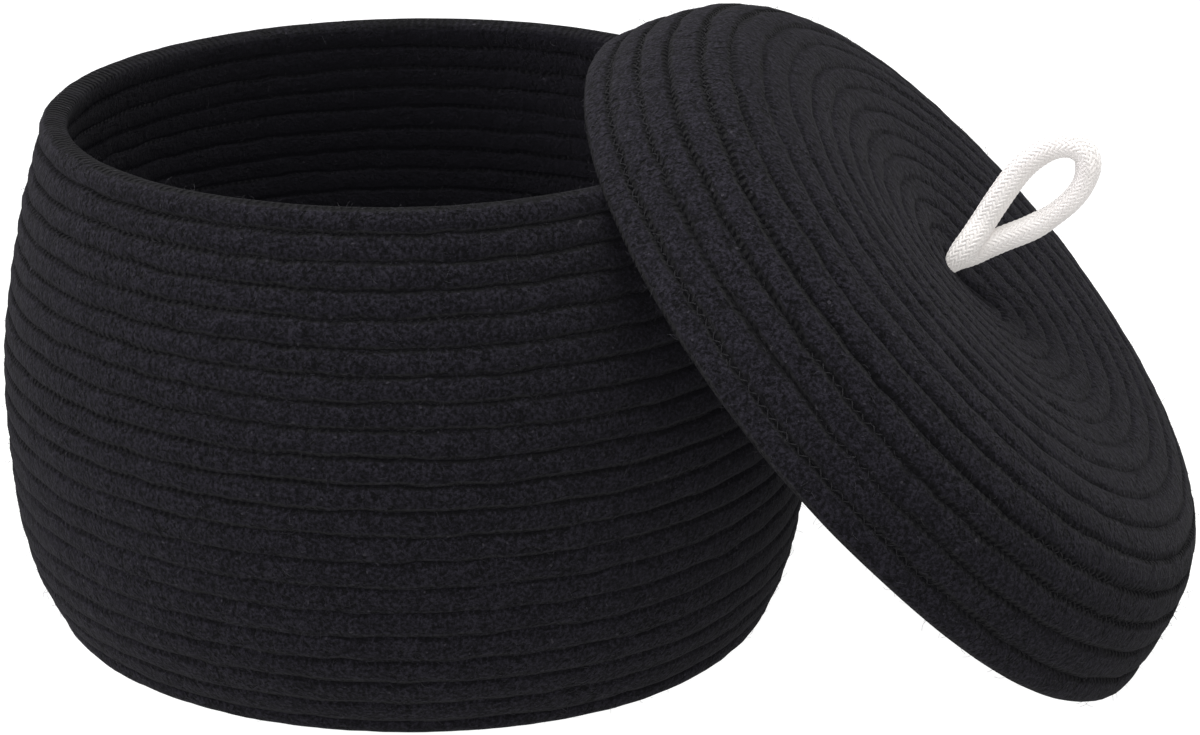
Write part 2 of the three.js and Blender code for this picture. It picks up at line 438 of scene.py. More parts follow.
def vector_sum(tree, *vectors):
    total = vectors[0]
    for vector in vectors[1:]:
        total = place(tree, "ShaderNodeVectorMath", {"operation": "ADD"}, _0=total, _1=vector).outputs[0]
    return total


def step(tree, value, low, high):
    """From 0 to 1, smoothly, as the value goes from low to high."""
    node = place(tree, "ShaderNodeMapRange", {"interpolation_type": "SMOOTHSTEP"}, Value=value)
    wire(tree, node.inputs["From Min"], low)
    wire(tree, node.inputs["From Max"], high)
    return node.outputs[0]


def swing(tree, value, size):
    """A value from 0 to 1 made one about zero, this many times as large."""
    return times(tree, maths(tree, "SUBTRACT", value, 0.5), size)


def noise(tree, vector, scale, detail, roughness=0.5):
    """Noise from 0 to 1, about this many grains to the vector's unit."""
    node = place(tree, "ShaderNodeTexNoise", Scale=scale, Detail=detail, Roughness=roughness)
    wire(tree, node.inputs["Vector"], vector)
    return node.outputs[0]


def named(tree, name, kind="FLOAT"):
    """The value that a geometry's points hold under a name."""
    node = place(tree, "GeometryNodeInputNamedAttribute", {"data_type": kind}, Name=name)
    return next(s for s in node.outputs if s.enabled and s.name == "Attribute")


def store(tree, geometry, name, value, kind="FLOAT"):
    """The geometry with a value held at its points under a name."""
    node = tree.nodes.new("GeometryNodeStoreNamedAttribute")
    node.data_type = kind
    wire(tree, node.inputs["Geometry"], geometry)
    wire(tree, node.inputs["Name"], name)
    wire(tree, next(s for s in node.inputs if s.enabled and s.name == "Value"), value)
    return node.outputs["Geometry"]


def plain_mesh(name, source, tree, keep_source=False, **values):
    """The result of a Geometry Nodes tree on an object, as a new plain object at the origin."""
    modifier = source.modifiers.new(tree.name, "NODES")
    modifier.node_group = tree
    sockets = {s.name: s.identifier for s in tree.interface.items_tree if s.in_out == "INPUT"}
    for key, value in values.items():
        modifier[sockets[key.replace("_", " ")]] = value
    graph = bpy.context.evaluated_depsgraph_get()
    mesh = bpy.data.meshes.new_from_object(source.evaluated_get(graph), depsgraph=graph)
    mesh.name = name
    if keep_source:
        source.modifiers.remove(modifier)
    else:
        bpy.data.objects.remove(source)
    result = bpy.data.objects.new(name, mesh)
    bpy.context.scene.collection.objects.link(result)
    return result


def chain_object(name, chains):
    """Chains of edges through points. A chain is its points and a dict of values or vectors at each."""
    points = np.vstack([chain[0] for chain in chains])
    edges = []
    first = 0
    for chain in chains:
        edges += [(k, k + 1) for k in range(first, first + len(chain[0]) - 1)]
        first += len(chain[0])
    mesh = bpy.data.meshes.new(name)
    mesh.from_pydata(points.tolist(), edges, [])
    for key in chains[0][1]:
        values = np.concatenate([chain[1][key] for chain in chains])
        kind, field = ("FLOAT_VECTOR", "vector") if values.ndim == 2 else ("FLOAT", "value")
        layer = mesh.attributes.new(key, kind, "POINT")
        layer.data.foreach_set(field, values.astype(np.float32).ravel())
    result = bpy.data.objects.new(name, mesh)
    bpy.context.scene.collection.objects.link(result)
    return result


def rope_tree():
    """Sweeps a rope along chains. The chain's points say how wide, thick and square its section is there."""
    t = Tree(
        "swept_rope",
        "GeometryNodeTree",
        [
            ("Geometry", "NodeSocketGeometry"),
            ("Section points", "NodeSocketInt", 16),
            ("Inner flatness", "NodeSocketFloat", 0.6),
            ("Lump height", "NodeSocketFloat", 0.0011),
            ("Lump size", "NodeSocketFloat", 0.008),
            ("Material", "NodeSocketMaterial"),
        ],
        [("Geometry", "NodeSocketGeometry")],
    )
    tree = t.tree
    path = t.place("GeometryNodeMeshToCurve", Mesh=t.start["Geometry"]).outputs[0]
    position = t.place("GeometryNodeInputPosition").outputs[0]
    path = store(tree, path, "along", t.place("GeometryNodeSplineParameter").outputs["Length"])
    path = store(tree, path, "middle", position, "FLOAT_VECTOR")
    count = t.start["Section points"]
    circle = t.place("GeometryNodeCurvePrimitiveCircle", Resolution=count, Radius=1.0).outputs[0]
    on_circle = t.place("ShaderNodeSeparateXYZ", Vector=position).outputs
    circle = store(tree, circle, "across", on_circle["X"])
    circle = store(tree, circle, "rise", on_circle["Y"])
    circle = t.place("GeometryNodeTransform", Geometry=circle, Scale=(MM, MM, MM)).outputs[0]
    tube = tree.nodes.new("GeometryNodeCurveToMesh")
    wire(tree, tube.inputs["Curve"], path)
    wire(tree, tube.inputs["Profile Curve"], circle)
    wire(tree, tube.inputs["Fill Caps"], True)
    body = tube.outputs[0]
    inner = maths(tree, "SUBTRACT", 1.0, step(tree, named(tree, "rise"), -0.5, 0.2))
    flattened = maths(tree, "SUBTRACT", 1.0, times(tree, inner, t.start["Inner flatness"]))
    body = store(tree, body, "power", times(tree, named(tree, "roundness"), flattened))

    def squared(name):
        """The round section's value, pushed out towards a square one."""
        value = named(tree, name)
        size = maths(tree, "POWER", maths(tree, "ABSOLUTE", value), named(tree, "power"))
        return times(tree, size, maths(tree, "SIGN", value))

    body = store(tree, body, "across", squared("across"))
    body = store(tree, body, "rise", squared("rise"))
    sideways = times(tree, named(tree, "across"), named(tree, "half_width"))
    outwards = times(tree, named(tree, "rise"), named(tree, "half_thickness"))
    swept = vector_sum(
        tree,
        named(tree, "middle", "FLOAT_VECTOR"),
        scaled(tree, named(tree, "sideways", "FLOAT_VECTOR"), sideways),
        scaled(tree, named(tree, "outward", "FLOAT_VECTOR"), outwards),
    )
    body = t.place("GeometryNodeSetPosition", Geometry=body, Position=swept).outputs[0]
    lumps = noise(tree, position, maths(tree, "DIVIDE", 1.0, t.start["Lump size"]), detail=2.5)
    height = times(tree, swing(tree, lumps, t.start["Lump height"]), named(tree, "rise"))
    offset = scaled(tree, named(tree, "outward", "FLOAT_VECTOR"), height)
    body = t.place("GeometryNodeSetPosition", Geometry=body, Offset=offset).outputs[0]
    body = t.place("GeometryNodeSetShadeSmooth", Geometry=body).outputs[0]
    return t.finish(body)


def stitch_tree():
    """A thread sewn in zigzags over a seam. It lies on the ropes only where the seam's points say so."""
    t = Tree(
        "zigzag_thread",
        "GeometryNodeTree",
        [
            ("Geometry", "NodeSocketGeometry"),
            ("Stitch length", "NodeSocketFloat", 0.0028),
            ("Half span", "NodeSocketFloat", 0.0011),
            ("Thread radius", "NodeSocketFloat", 0.00021),
            ("Material", "NodeSocketMaterial"),
        ],
        [("Geometry", "NodeSocketGeometry")],
    )
    tree = t.tree
    path = t.place("GeometryNodeMeshToCurve", Mesh=t.start["Geometry"]).outputs[0]
    spacing = maths(tree, "DIVIDE", t.start["Stitch length"], 2.0)
    resample = tree.nodes.new("GeometryNodeResampleCurve")
    resample.mode = "LENGTH"
    wire(tree, resample.inputs["Curve"], path)
    wire(tree, next(s for s in resample.inputs if s.name == "Length" and s.enabled), spacing)
    path = resample.outputs[0]
    index = t.place("GeometryNodeInputIndex").outputs[0]
    phase = times(tree, index, math.pi / 2)
    across = times(tree, maths(tree, "SINE", phase), t.start["Half span"])
    over = maths(tree, "ABSOLUTE", maths(tree, "COSINE", phase))
    side = scaled(tree, named(tree, "sideways", "FLOAT_VECTOR"), across)
    lift = add(tree, named(tree, "lift"), times(tree, over, THREAD_CROSSING))
    rise = scaled(tree, named(tree, "outward", "FLOAT_VECTOR"), lift)
    path = t.place("GeometryNodeSetPosition", Geometry=path, Offset=vector_sum(tree, side, rise)).outputs[0]
    radius = t.start["Thread radius"]
    circle = t.place("GeometryNodeCurvePrimitiveCircle", Resolution=4, Radius=radius).outputs[0]
    tube = tree.nodes.new("GeometryNodeCurveToMesh")
    wire(tree, tube.inputs["Curve"], path)
    wire(tree, tube.inputs["Profile Curve"], circle)
    wire(tree, tube.inputs["Fill Caps"], True)
    body = t.place("GeometryNodeSetShadeSmooth", Geometry=tube.outputs[0]).outputs[0]
    return t.finish(body)


def fuzz_tree():
    """Stray fibres all over a rope: short bent hairs, most of them lying nearly flat."""
    t = Tree(
        "stray_fibres",
        "GeometryNodeTree",
        [
            ("Geometry", "NodeSocketGeometry"),
            ("Fibres per square metre", "NodeSocketFloat", 20000.0),
            ("Fibre length", "NodeSocketFloat", 0.003),
            ("Fibre radius", "NodeSocketFloat", 0.00004),
            ("Seed", "NodeSocketInt", 3),
            ("Material", "NodeSocketMaterial"),
        ],
        [("Geometry", "NodeSocketGeometry")],
    )
    tree = t.tree
    scatter = t.place(
        "GeometryNodeDistributePointsOnFaces",
        {"distribute_method": "RANDOM"},
        Mesh=t.start["Geometry"],
        Density=t.start["Fibres per square metre"],
        Seed=t.start["Seed"],
    )
    length = t.start["Fibre length"]

    def reach(out, up):
        """A place over the rope, in shares of the fibre's length."""
        node = t.place("ShaderNodeCombineXYZ", X=times(tree, length, out), Z=times(tree, length, up))
        return node.outputs[0]

    bend = reach(0.15, 0.4)
    tip = reach(0.75, 0.55)
    hair = t.place(
        "GeometryNodeCurveQuadraticBezier", Resolution=3, Start=(0, 0, 0), Middle=bend, End=tip
    ).outputs[0]
    radius = t.start["Fibre radius"]
    ring = t.place("GeometryNodeCurvePrimitiveCircle", Resolution=3, Radius=radius).outputs[0]
    tube = tree.nodes.new("GeometryNodeCurveToMesh")
    wire(tree, tube.inputs["Curve"], hair)
    wire(tree, tube.inputs["Profile Curve"], ring)
    upright = tree.nodes.new("FunctionNodeAlignRotationToVector")
    upright.axis = "Z"
    wire(tree, upright.inputs["Vector"], scatter.outputs["Normal"])
    most = (0.7, 0.5, 3.1)
    least = (-0.7, -0.5, -3.1)
    random_spin = t.place("FunctionNodeRandomValue", {"data_type": "FLOAT_VECTOR"}, Min=least, Max=most)
    spin = next(s for s in random_spin.outputs if s.enabled)
    turned = tree.nodes.new("FunctionNodeRotateRotation")
    turned.rotation_space = "LOCAL"
    wire(tree, turned.inputs["Rotation"], upright.outputs[0])
    tree.links.new(spin, turned.inputs["Rotate By"])
    random_size = t.place("FunctionNodeRandomValue", {"data_type": "FLOAT"}, Min=0.35, Max=1.5)
    size = next(s for s in random_size.outputs if s.enabled)
    hairs = tree.nodes.new("GeometryNodeInstanceOnPoints")
    wire(tree, hairs.inputs["Points"], scatter.outputs["Points"])
    wire(tree, hairs.inputs["Instance"], tube.outputs[0])
    tree.links.new(turned.outputs[0], hairs.inputs["Rotation"])
    tree.links.new(size, hairs.inputs["Scale"])
    return t.finish(hairs.outputs[0])


# Materials

def felt_group():
    """Felted cotton as a tone and a height, with its grain, wrapping, pits and seams, and its pale lint. The
    seams and pits are darkened with painted shade.
    """
    t = Tree(
        "felted_cotton",
        "ShaderNodeTree",
        [
            ("Place", "NodeSocketVector"),
            ("Along", "NodeSocketFloat"),
            ("Across", "NodeSocketFloat"),
            ("Rise", "NodeSocketFloat"),
            ("Seam", "NodeSocketFloat", 0.5),
            ("Seam place", "NodeSocketFloat", 1.0),
            ("Grain per metre", "NodeSocketFloat", 820.0),
            ("Wrap per metre", "NodeSocketFloat", 380.0),
        ],
        [("Tone", "NodeSocketFloat"), ("Lint", "NodeSocketFloat"), ("Height", "NodeSocketFloat")],
    )
    tree = t.tree
    space = t.start["Place"]
    grain = noise(tree, space, t.start["Grain per metre"], detail=2.0, roughness=0.7)
    tufts = noise(tree, space, 210.0, detail=2.0, roughness=0.6)
    mottle = noise(tree, space, 60.0, detail=1.0)
    on_rope = t.place(
        "ShaderNodeCombineXYZ",
        X=times(tree, t.start["Along"], t.start["Wrap per metre"]),
        Y=times(tree, t.start["Across"], 1.4),
        Z=times(tree, t.start["Rise"], 1.4),
    ).outputs[0]
    wrap = noise(tree, on_rope, 1.0, detail=1.5)
    # Seams: painted shade along them, ragged, broken and beaded at the stitches, and a dip in the height
    edge = maths(tree, "DIVIDE", maths(tree, "ABSOLUTE", t.start["Across"]), t.start["Seam place"])
    ragged = add(tree, edge, swing(tree, tufts, 0.45))
    seam_shade_and_dip = step(tree, ragged, 0.66, 0.92)
    broken = step(tree, tufts, 0.3, 0.62)
    stitches = times(tree, t.start["Along"], 2 * math.pi / WALL_STITCH)
    beads = maths(tree, "SINE", add(tree, stitches, times(tree, tufts, 5.0)))
    dotted = add(tree, 0.45, times(tree, broken, 0.35), times(tree, beads, 0.22))
    seam_shade_and_dip = times(tree, seam_shade_and_dip, t.start["Seam"], dotted)
    speckle = add(
        tree,
        swing(tree, grain, 3.4),
        swing(tree, tufts, 0.5),
        swing(tree, mottle, 0.4),
        swing(tree, wrap, 0.35),
    )
    # Marks and the painted seam shade are fainter on the ropes' inner faces
    outer_face_strength = add(tree, 0.45, times(tree, step(tree, t.start["Rise"], -0.6, 0.1), 0.55))
    # Pits: small dents in the height, with painted shade darkening the tone in them
    dots = noise(tree, space, 430.0, detail=1.0)
    pits = times(tree, step(tree, dots, 0.55, 0.63), step(tree, mottle, 0.5, 0.6))
    # The tone is darkened at the seams and pits by painted shade
    marks = add(tree, speckle, times(tree, seam_shade_and_dip, -0.85), times(tree, pits, -0.45))
    wire(tree, t.end["Tone"], add(tree, 0.5, times(tree, marks, outer_face_strength)))
    specks = noise(tree, space, 520.0, detail=0.0)
    wire(tree, t.end["Lint"], step(tree, specks, 0.8, 0.87))
    height = add(
        tree,
        times(tree, grain, 0.5),
        times(tree, tufts, 0.9),
        times(tree, wrap, 0.3),
        times(tree, seam_shade_and_dip, -0.8),
        times(tree, pits, -0.35),
    )
    wire(tree, t.end["Height"], height)
    return tree


def attribute(tree, name):
    """A value that a mesh's points hold under a name, for a material."""
    return place(tree, "ShaderNodeAttribute", {"attribute_name": name}).outputs["Fac"]


def new_material(name):
    material = bpy.data.materials.new(name)
    material.use_nodes = True
    tree = material.node_tree
    return material, tree, tree.nodes["Principled BSDF"]


def colour_ramp(tree, factor, stops):
    node = place(tree, "ShaderNodeValToRGB", Fac=factor)
    ramp = node.color_ramp
    while len(ramp.elements) < len(stops):
        ramp.elements.new(1.0)
    for element, (position, colour) in zip(ramp.elements, stops):
        element.position = position
        element.color = (*colour, 1.0)
    return node.outputs[0]


def black_rope_material(felt):
    """Black felted cotton rope. Its trace of glow stands in for light that the fine nap scatters."""
    material, tree, shader = new_material("black_felted_cotton")
    group = place(
        tree,
        "ShaderNodeGroup",
        {"node_tree": felt},
        Place=place(tree, "ShaderNodeTexCoord").outputs["Object"],
        Along=attribute(tree, "along"),
        Across=attribute(tree, "across"),
        Rise=attribute(tree, "rise"),
        # How dark the painted shade in the seams is, and how deep they dip
        Seam=attribute(tree, "seam_shade_depth"),
        Seam_place=attribute(tree, "seam_place"),
    )
    dark, mid, light = (0.0006, 0.0006, 0.0007), (0.0053, 0.0049, 0.0069), (0.0137, 0.0126, 0.0175)
    colour = colour_ramp(tree, group.outputs["Tone"], [(0.0, dark), (0.5, mid), (1.0, light)])
    pale = (0.024, 0.0225, 0.027, 1.0)
    mix = place(tree, "ShaderNodeMix", {"data_type": "RGBA"}, _0=group.outputs["Lint"], _6=colour, _7=pale)
    lint = mix.outputs[2]
    wire(tree, shader.inputs["Base Color"], lint)
    wire(tree, shader.inputs["Roughness"], 0.95)
    wire(tree, shader.inputs["Specular IOR Level"], 0.05)
    wire(tree, shader.inputs["Sheen Weight"], 0.024)
    wire(tree, shader.inputs["Sheen Roughness"], 0.6)
    wire(tree, shader.inputs["Emission Color"], (1.0, 0.97, 1.25, 1.0))
    wire(tree, shader.inputs["Emission Strength"], 0.002)
    bump = place(tree, "ShaderNodeBump", Height=group.outputs["Height"], Strength=1.0, Distance=0.0015)
    wire(tree, shader.inputs["Normal"], bump.outputs[0])
    return material


def plain_material(name, colour, roughness, sheen):
    """One even colour, for thread and stray fibres."""
    material, tree, shader = new_material(name)
    wire(tree, shader.inputs["Base Color"], (*colour, 1.0))
    wire(tree, shader.inputs["Roughness"], roughness)
    wire(tree, shader.inputs["Specular IOR Level"], 0.15)
    wire(tree, shader.inputs["Sheen Weight"], sheen)
    return material


def white_rope_material():
    """White braided cotton. Its glow stands in for light that scatters inside the strands."""
    material, tree, shader = new_material("white_braided_cotton")
    place_on = place(tree, "ShaderNodeTexCoord").outputs["Object"]
    on_strand = place(
        tree,
        "ShaderNodeCombineXYZ",
        X=times(tree, attribute(tree, "along"), 250.0),
        Y=times(tree, attribute(tree, "across"), 3.2),
        Z=times(tree, attribute(tree, "rise"), 3.2),
    ).outputs[0]
    fibre = noise(tree, on_strand, 1.0, detail=2.0)
    soft = noise(tree, place_on, 170.0, detail=1.0)
    blend = add(tree, times(tree, fibre, 0.5), times(tree, soft, 0.5))
    colour = colour_ramp(tree, blend, [(0.3, (0.53, 0.505, 0.485)), (0.7, (0.6, 0.58, 0.565))])
    wire(tree, shader.inputs["Base Color"], colour)
    wire(tree, shader.inputs["Roughness"], 0.9)
    wire(tree, shader.inputs["Specular IOR Level"], 0.2)
    wire(tree, shader.inputs["Sheen Weight"], 0.1)
    wire(tree, shader.inputs["Emission Color"], (1.0, 0.96, 0.93, 1.0))
    wire(tree, shader.inputs["Emission Strength"], 0.26)
    bump = place(tree, "ShaderNodeBump", Height=fibre, Strength=0.5, Distance=0.0004)
    wire(tree, shader.inputs["Normal"], bump.outputs[0])
    return material


felt = felt_group()
black_rope = black_rope_material(felt)
white_rope = white_rope_material()
black_thread = plain_material("black_thread", (0.009, 0.0088, 0.01), roughness=0.7, sheen=0.03)
black_fuzz = plain_material("black_fuzz", (0.0162, 0.0152, 0.019), roughness=0.8, sheen=0.08)
sweep = rope_tree()
zigzag = stitch_tree()
fuzz = fuzz_tree()


# Pieces

def fitted(piece, body, replaced=None):
    """Puts a piece on its body, in place of the CAD node that it stands for."""
    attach(piece, body)
    if replaced:
        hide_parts(replaced)
    return piece


def rest_on_floor(piece):
    """Flattens the soft edge where the floor carries it."""
    places = np.empty(len(piece.data.vertices) * 3, dtype=np.float32)
    piece.data.vertices.foreach_get("co", places)
    height = places[2::3] / FLOOR_SOFTNESS
    near_floor = np.log1p(np.exp(np.minimum(height, FLOOR_REACH)))
    places[2::3] = FLOOR_SOFTNESS * np.where(height > FLOOR_REACH, height, near_floor)
    piece.data.vertices.foreach_set("co", places)
    return piece


def coil_piece(name, winding, look, carry=None, turn=None):
    """A wound rope as one plain mesh. look gives roundness, the strength of the painted seam shade and
    sinking together, by course.
    """
    middle, outward, sideways, half_pitch, turns, share = winding.stations()
    roundness, seam_shade_depth, sunk = look(winding.climb(turns))
    if carry:
        middle, outward, sideways = carry(middle), turn(outward), turn(sideways)
    long_breaks = 0.2 * soft_noise(turns, LONG_BREAK, winding.seed + 5)
    short_breaks = 0.45 * soft_noise(turns, SHORT_BREAK, winding.seed + 6)
    uneven = 1 + 0.45 * soft_noise(turns, WIDTH_SWAY, winding.seed + 8)
    half_width = half_pitch + sunk / 2 * uneven
    values = {
        "outward": outward,
        "sideways": sideways,
        "half_width": half_width,
        "seam_place": np.clip(half_pitch / half_width, 0.3, 1),
        "half_thickness": ROPE_THICKNESS / 2 * np.sqrt(share),
        "roundness": roundness,
        "seam_shade_depth": seam_shade_depth * (0.7 + long_breaks + short_breaks),
    }
    path = chain_object(name + "_path", [(middle, values)])
    return plain_mesh(name, path, sweep, Material=black_rope)


def seam_piece(name, winding, show, stitch_length, carry=None, turn=None):
    """The zigzag thread over a winding's seams. show says how much of it shows, by course."""
    points, outward, sideways, turns = winding.seam(stitch_length)
    patches = 0.5 + 0.5 * soft_noise(turns, THREAD_PATCH, winding.seed + 9)
    shown = show(winding.climb(turns)) * smoothstep(patches, 0.3, 0.8)
    points = points + outward * (ROPE_THICKNESS / 2)
    if carry:
        points, outward, sideways = carry(points), turn(outward), turn(sideways)
    values = {"outward": outward, "sideways": sideways, "lift": (shown - 1.0) * THREAD_HIDES - THREAD_DEPTH}
    path = chain_object(name + "_path", [(points, values)])
    return plain_mesh(name, path, zigzag, Stitch_length=stitch_length, Material=black_thread)


def fuzz_piece(name, rope, density, seed):
    """Stray fibres on a rope, so many to the square metre."""
    return plain_mesh(
        name, rope, fuzz, keep_source=True, Fibres_per_square_metre=density, Seed=seed, Material=black_fuzz
    )


# Basket

wall_profile = Profile(WALL_PROFILE)
wall_pitch = wall_profile.length / WALL_COURSES


def wall_surface(course, azimuth):
    """The wall's middle surface, pressed in and pushed out where the lid leans on it."""
    points, normals = wall_profile.turned(course * wall_pitch, azimuth)
    turned_by = np.abs((azimuth + math.pi) % (2 * math.pi) - math.pi)
    dent = np.exp(-(((turned_by - PRESS_AZIMUTH) / PRESS_SPREAD) ** 2))
    rim = wall_profile.line[-1, 1]
    dent *= smoothstep(points[:, 2], rim - PRESS_REACH, rim)
    push = facing_x(azimuth) * (1 - smoothstep(points[:, 2], 0, FOOT_HEIGHT))
    points[:, :2] += (FOOT_PUSH * push - PRESS_DEPTH * dent)[:, None] * unit(points[:, :2])
    points[:, 2] += RIM_TILT * points[:, 0] * smoothstep(points[:, 2], TILT_FROM, TILT_FULL)
    return points, normals


def wall_look(course):
    """Turns that sink into each other, most of all low on the wall, with a round rim and foot."""
    rim = smoothstep(course, WALL_COURSES - 2.2, WALL_COURSES - 1.6)
    foot = 1 - smoothstep(course, 0.0, 0.8)
    free = np.maximum(rim, foot)
    low = 1 - smoothstep(course, 5, 11)
    roundness = 0.75 + 0.07 * free
    # Painted seam shade, fainter low on the wall
    seam_shade_depth = 1.5 - 0.9 * low
    sunk = 2.3 + 1.5 * low
    return roundness, seam_shade_depth, (sunk + (0.4 - sunk) * free) * MM


def base_look(course):
    """The same all over the base."""
    # Painted seam shade, the same all over the base
    roundness, seam_shade_depth, sunk = 0.75, 1.0, 2.1 * MM
    return np.full_like(course, roundness), np.full_like(course, seam_shade_depth), np.full_like(course, sunk)


def wall_thread(course):
    """The seam thread shows a little, the same all over the wall."""
    return np.full_like(course, 0.6)


wall = Winding(wall_surface, stepped_climb, WALL_COURSES, WALL_STEPS, step_azimuth=0.0, sway=0.045, seed=11)
basket_rope = fitted(rest_on_floor(coil_piece("basket_rope", wall, wall_look)), "basket", "wall_coil")
fitted(seam_piece("basket_seam_thread", wall, wall_thread, WALL_STITCH), "basket")
fitted(rest_on_floor(fuzz_piece("basket_fuzz", basket_rope, density=15000.0, seed=3)), "basket")

base_low, base_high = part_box("base_coil")
base_radius = float(base_high[1] - base_low[1]) / 2
base_pitch = base_radius / BASE_COURSES


def base_surface(course, azimuth):
    """A level disc, with a small hole that keeps the rope's start off the middle."""
    radius = np.maximum(course * base_pitch, BASE_HOLE)
    height = np.full_like(radius, BASE_HEIGHT)
    points = np.stack([radius * np.cos(azimuth), radius * np.sin(azimuth), height], axis=-1)
    return points, np.tile(UP, (len(points), 1))


base = Winding(
    base_surface, stepped_climb, BASE_COURSES, BASE_STEPS, step_azimuth=0.0, sway=0.03, seed=31, tufted=4
)
fitted(coil_piece("base_rope", base, base_look), "basket", "base_coil")

# Lid

lid_profile = Profile(LID_PROFILE)
lid_pitch = (lid_profile.length - SLIT_WIDTH / 2) / LID_COURSES


def lid_climb(turns):
    """Stepped on the skirt, so that its edge is level, and an even spiral towards the slit."""
    spiral = turns - (1 - STEP_SHARE) / 2
    share = smoothstep(turns, LEVEL_COURSES, LID_COURSES)
    return stepped_climb(turns) * (1 - share) + spiral * share


def lid_surface(course, azimuth):
    """The lid's middle surface, with turns drawn out along the slit as they near it."""
    spread = lid_profile.length - course * lid_pitch
    run = (SLIT_LENGTH - SLIT_WIDTH) * (course / LID_COURSES) ** 2
    side = np.tanh(SLIT_SHARPNESS * np.cos(azimuth)) / math.tanh(SLIT_SHARPNESS)
    x = spread * np.cos(azimuth) + side * run / 2
    y = spread * np.sin(azimuth) + SLIT_OFFSET * (course / LID_COURSES) ** 2
    points, normals = lid_profile.turned(lid_profile.length - np.hypot(x, y), np.arctan2(y, x))
    points[:, 2] -= LID_SAG * facing_x(azimuth) * (1 - smoothstep(points[:, 2], 0, LID_SAG_HEIGHT))
    return points, normals


def lid_look(course):
    """Round turns on the skirt, turns pressed flat together on the crown, and an open slit at its centre."""
    crown = smoothstep(course, 3.2, 5.8)
    middle = smoothstep(course, 7, 11)
    edge = 1 - smoothstep(course, 0.0, 0.8)
    slit = smoothstep(course, LID_COURSES - 1.5, LID_COURSES - 0.9)
    roundness = 0.64 + 0.1 * np.maximum(crown, edge)
    # Painted seam shade: strong on the skirt, faint on the crown, darkest at the slit
    seam_shade_depth = 1.9 - 1.5 * crown - 0.12 * middle + 1.2 * slit
    sunk = 1.3 + 2.4 * crown - 1.0 * edge + 0.2 * middle - 3.0 * slit
    return roundness, seam_shade_depth, sunk * MM


def lid_thread(course):
    """The seam thread shows well on the skirt and hardly on the crown."""
    return 0.9 - 0.7 * smoothstep(course, 4, 6)


lid = Winding(
    lid_surface, lid_climb, LID_COURSES, LID_STEPS, step_azimuth=math.pi / 2, sway=0.04, seed=51, tufted=4
)
lid_rope = rest_on_floor(coil_piece("lid_rope", lid, lid_look, lid_to_row, lid_turn))
fitted(lid_rope, "lid", "lid_coil")
lid_seams = seam_piece("lid_seam_thread", lid, lid_thread, LID_STITCH, lid_to_row, lid_turn)
fitted(rest_on_floor(lid_seams), "lid")
fitted(rest_on_floor(fuzz_piece("lid_fuzz", lid_rope, density=18000.0, seed=7)), "lid")

# Handle

handle_line, handle_reach = smooth_line(HANDLE_ROUTE, 40)


def strand(points, out, half_width, half_thickness, girth, roundness=1.0):
    """A strand on the lid as a chain: its points and its section at each."""
    side = unit(np.cross(out, unit(np.gradient(points, axis=0))))
    values = {
        "outward": lid_turn(out),
        "sideways": lid_turn(side),
        "half_width": half_width * girth,
        "half_thickness": half_thickness * girth,
        "roundness": np.full(len(points), roundness),
        "seam_shade_depth": np.zeros(len(points)),
    }
    return lid_to_row(points), values


def handle_chains():
    """A core and two crossing sets of strands that pass over two and under two."""
    along = np.linspace(0, handle_reach[-1], HANDLE_STATIONS)
    middle = read_line(handle_line, handle_reach, along)
    tangent = unit(np.gradient(middle, along, axis=0))
    outward = unit(np.cross(tangent, np.tile([0.0, 1.0, 0.0], (HANDLE_STATIONS, 1))))
    sideways = np.cross(outward, tangent)
    neck = 1 - NECK_SHARE * np.exp(-(((middle[:, 2] - NECK_HEIGHT) / NECK_SPREAD) ** 2))
    bend = smoothstep(middle[:, 0], 0, 5 * MM) * smoothstep(middle[:, 2], 30 * MM, 42 * MM)
    ends = np.sqrt(np.clip(np.minimum(along, along[-1] - along) / END_TAPER, 0.02, 1))
    girth = neck * ends * (1 - BEND_PINCH * bend)
    chains = [strand(middle + HANDLE_FOOT, outward, CORE_RADIUS, CORE_RADIUS, girth)]
    twist = math.pi * 2 * along / STRAND_PITCH
    for hand in (1, -1):
        for k in range(HANDLE_STRANDS):
            angle = hand * twist + 2 * math.pi * k / HANDLE_STRANDS
            crossings = 2 * k + hand * HANDLE_STRANDS * twist / math.pi
            wave = hand * np.cos(math.pi * (crossings - 0.5) / 2)
            radius = (HANDLE_RADIUS - STRAND_DEPTH + WEAVE_DEPTH * wave) * girth
            out = outward * np.cos(angle)[:, None] + sideways * np.sin(angle)[:, None]
            points = middle + out * radius[:, None] + HANDLE_FOOT
            chains.append(strand(points, out, STRAND_HALF_WIDTH, STRAND_HALF_THICKNESS, girth, 0.9))
    return chains


handle_rope = plain_mesh(
    "handle_rope",
    chain_object("handle_path", handle_chains()),
    sweep,
    Section_points=5,
    Inner_flatness=0.0,
    Lump_height=0.0,
    Material=white_rope,
)
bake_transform(handle_rope)
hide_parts("handle_loop", "handle_end_upper", "handle_end_lower")


def tack_threads():
    """Stitches that hold the handle's ends up against the crown, one arc of thread under the rope each."""
    chains = []
    angle = np.linspace(-TACK_OVERLAP, math.pi + TACK_OVERLAP, TACK_POINTS)
    arc = np.stack([TACK_SLANT * np.cos(angle), np.cos(angle), -np.sin(angle)], axis=-1) * TACK_RADIUS
    for along, up in TACK_PLACES:
        points = HANDLE_FOOT + np.array([along, math.copysign(TACK_ASIDE, along), up]) * MM + arc
        points[[0, -1], 2] += TACK_RISE
        chains.append(strand(points, unit(arc), TACK_HALF_WIDTH, TACK_HALF_THICKNESS, np.ones(TACK_POINTS)))
    return chains


tack_path = chain_object("tack_path", tack_threads())
tacks = plain_mesh(
    "tack_threads", tack_path, sweep, Section_points=6, Lump_height=0.0, Material=black_thread
)
fitted(tacks, "lid")

# Stage, light and camera


